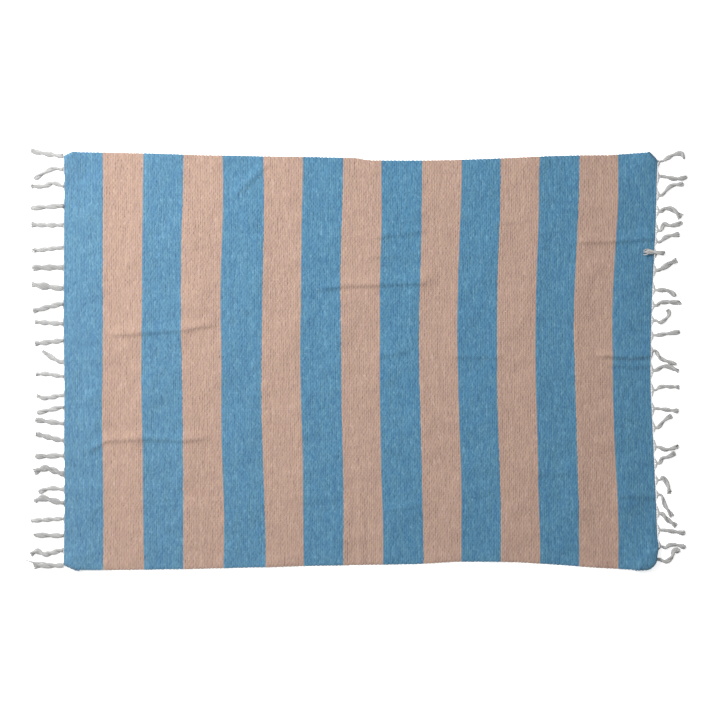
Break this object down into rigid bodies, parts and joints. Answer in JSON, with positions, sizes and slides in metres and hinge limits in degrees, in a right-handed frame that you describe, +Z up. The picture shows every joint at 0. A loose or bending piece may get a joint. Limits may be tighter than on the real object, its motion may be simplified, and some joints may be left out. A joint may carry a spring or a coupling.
{
  "type": "bath mat",
  "caption": "Flat-woven rectangular bath mat with broad crosswise stripes in blue and peach and a fringe of twisted undyed tassels along both short ends.",
  "frame": {"origin": "on the floor, under the middle of the mat's bounding box with its fringe", "axes": "+X along the length of the mat, across the stripes; +Y across it; +Z up"},
  "size_m": [0.8026, 0.5132, 0.0114],
  "materials": {
    "blue_weft": "matt woven cotton, mid blue with darker and lighter yarns mixed in",
    "peach_weft": "matt woven cotton, peach and pinkish beige yarns mixed",
    "warp_cotton": "matt undyed cotton yarn, off-white"
  },
  "bodies": {
    "root": {"blue_weft_band_1": "blue_weft", "blue_weft_band_2": "blue_weft", "blue_weft_band_3": "blue_weft", "blue_weft_band_4": "blue_weft", "blue_weft_band_5": "blue_weft", "blue_weft_band_6": "blue_weft", "blue_weft_band_7": "blue_weft", "blue_weft_band_8": "blue_weft", "peach_weft_band_1": "peach_weft", "peach_weft_band_2": "peach_weft", "peach_weft_band_3": "peach_weft", "peach_weft_band_4": "peach_weft", "peach_weft_band_5": "peach_weft", "peach_weft_band_6": "peach_weft", "peach_weft_band_7": "peach_weft", "warp_bundle_01": "warp_cotton", "warp_bundle_02": "warp_cotton", "warp_bundle_03": "warp_cotton", "warp_bundle_04": "warp_cotton", "warp_bundle_05": "warp_cotton", "warp_bundle_06": "warp_cotton", "warp_bundle_07": "warp_cotton", "warp_bundle_08": "warp_cotton", "warp_bundle_09": "warp_cotton", "warp_bundle_10": "warp_cotton", "warp_bundle_11": "warp_cotton", "warp_bundle_12": "warp_cotton", "warp_bundle_13": "warp_cotton", "warp_bundle_14": "warp_cotton", "warp_bundle_15": "warp_cotton", "warp_bundle_16": "warp_cotton", "warp_bundle_17": "warp_cotton", "warp_bundle_18": "warp_cotton", "warp_bundle_19": "warp_cotton", "warp_bundle_20": "warp_cotton", "warp_bundle_21": "warp_cotton", "warp_bundle_22": "warp_cotton", "warp_bundle_23": "warp_cotton", "warp_bundle_24": "warp_cotton", "warp_bundle_25": "warp_cotton"}
  },
  "joints": []
}
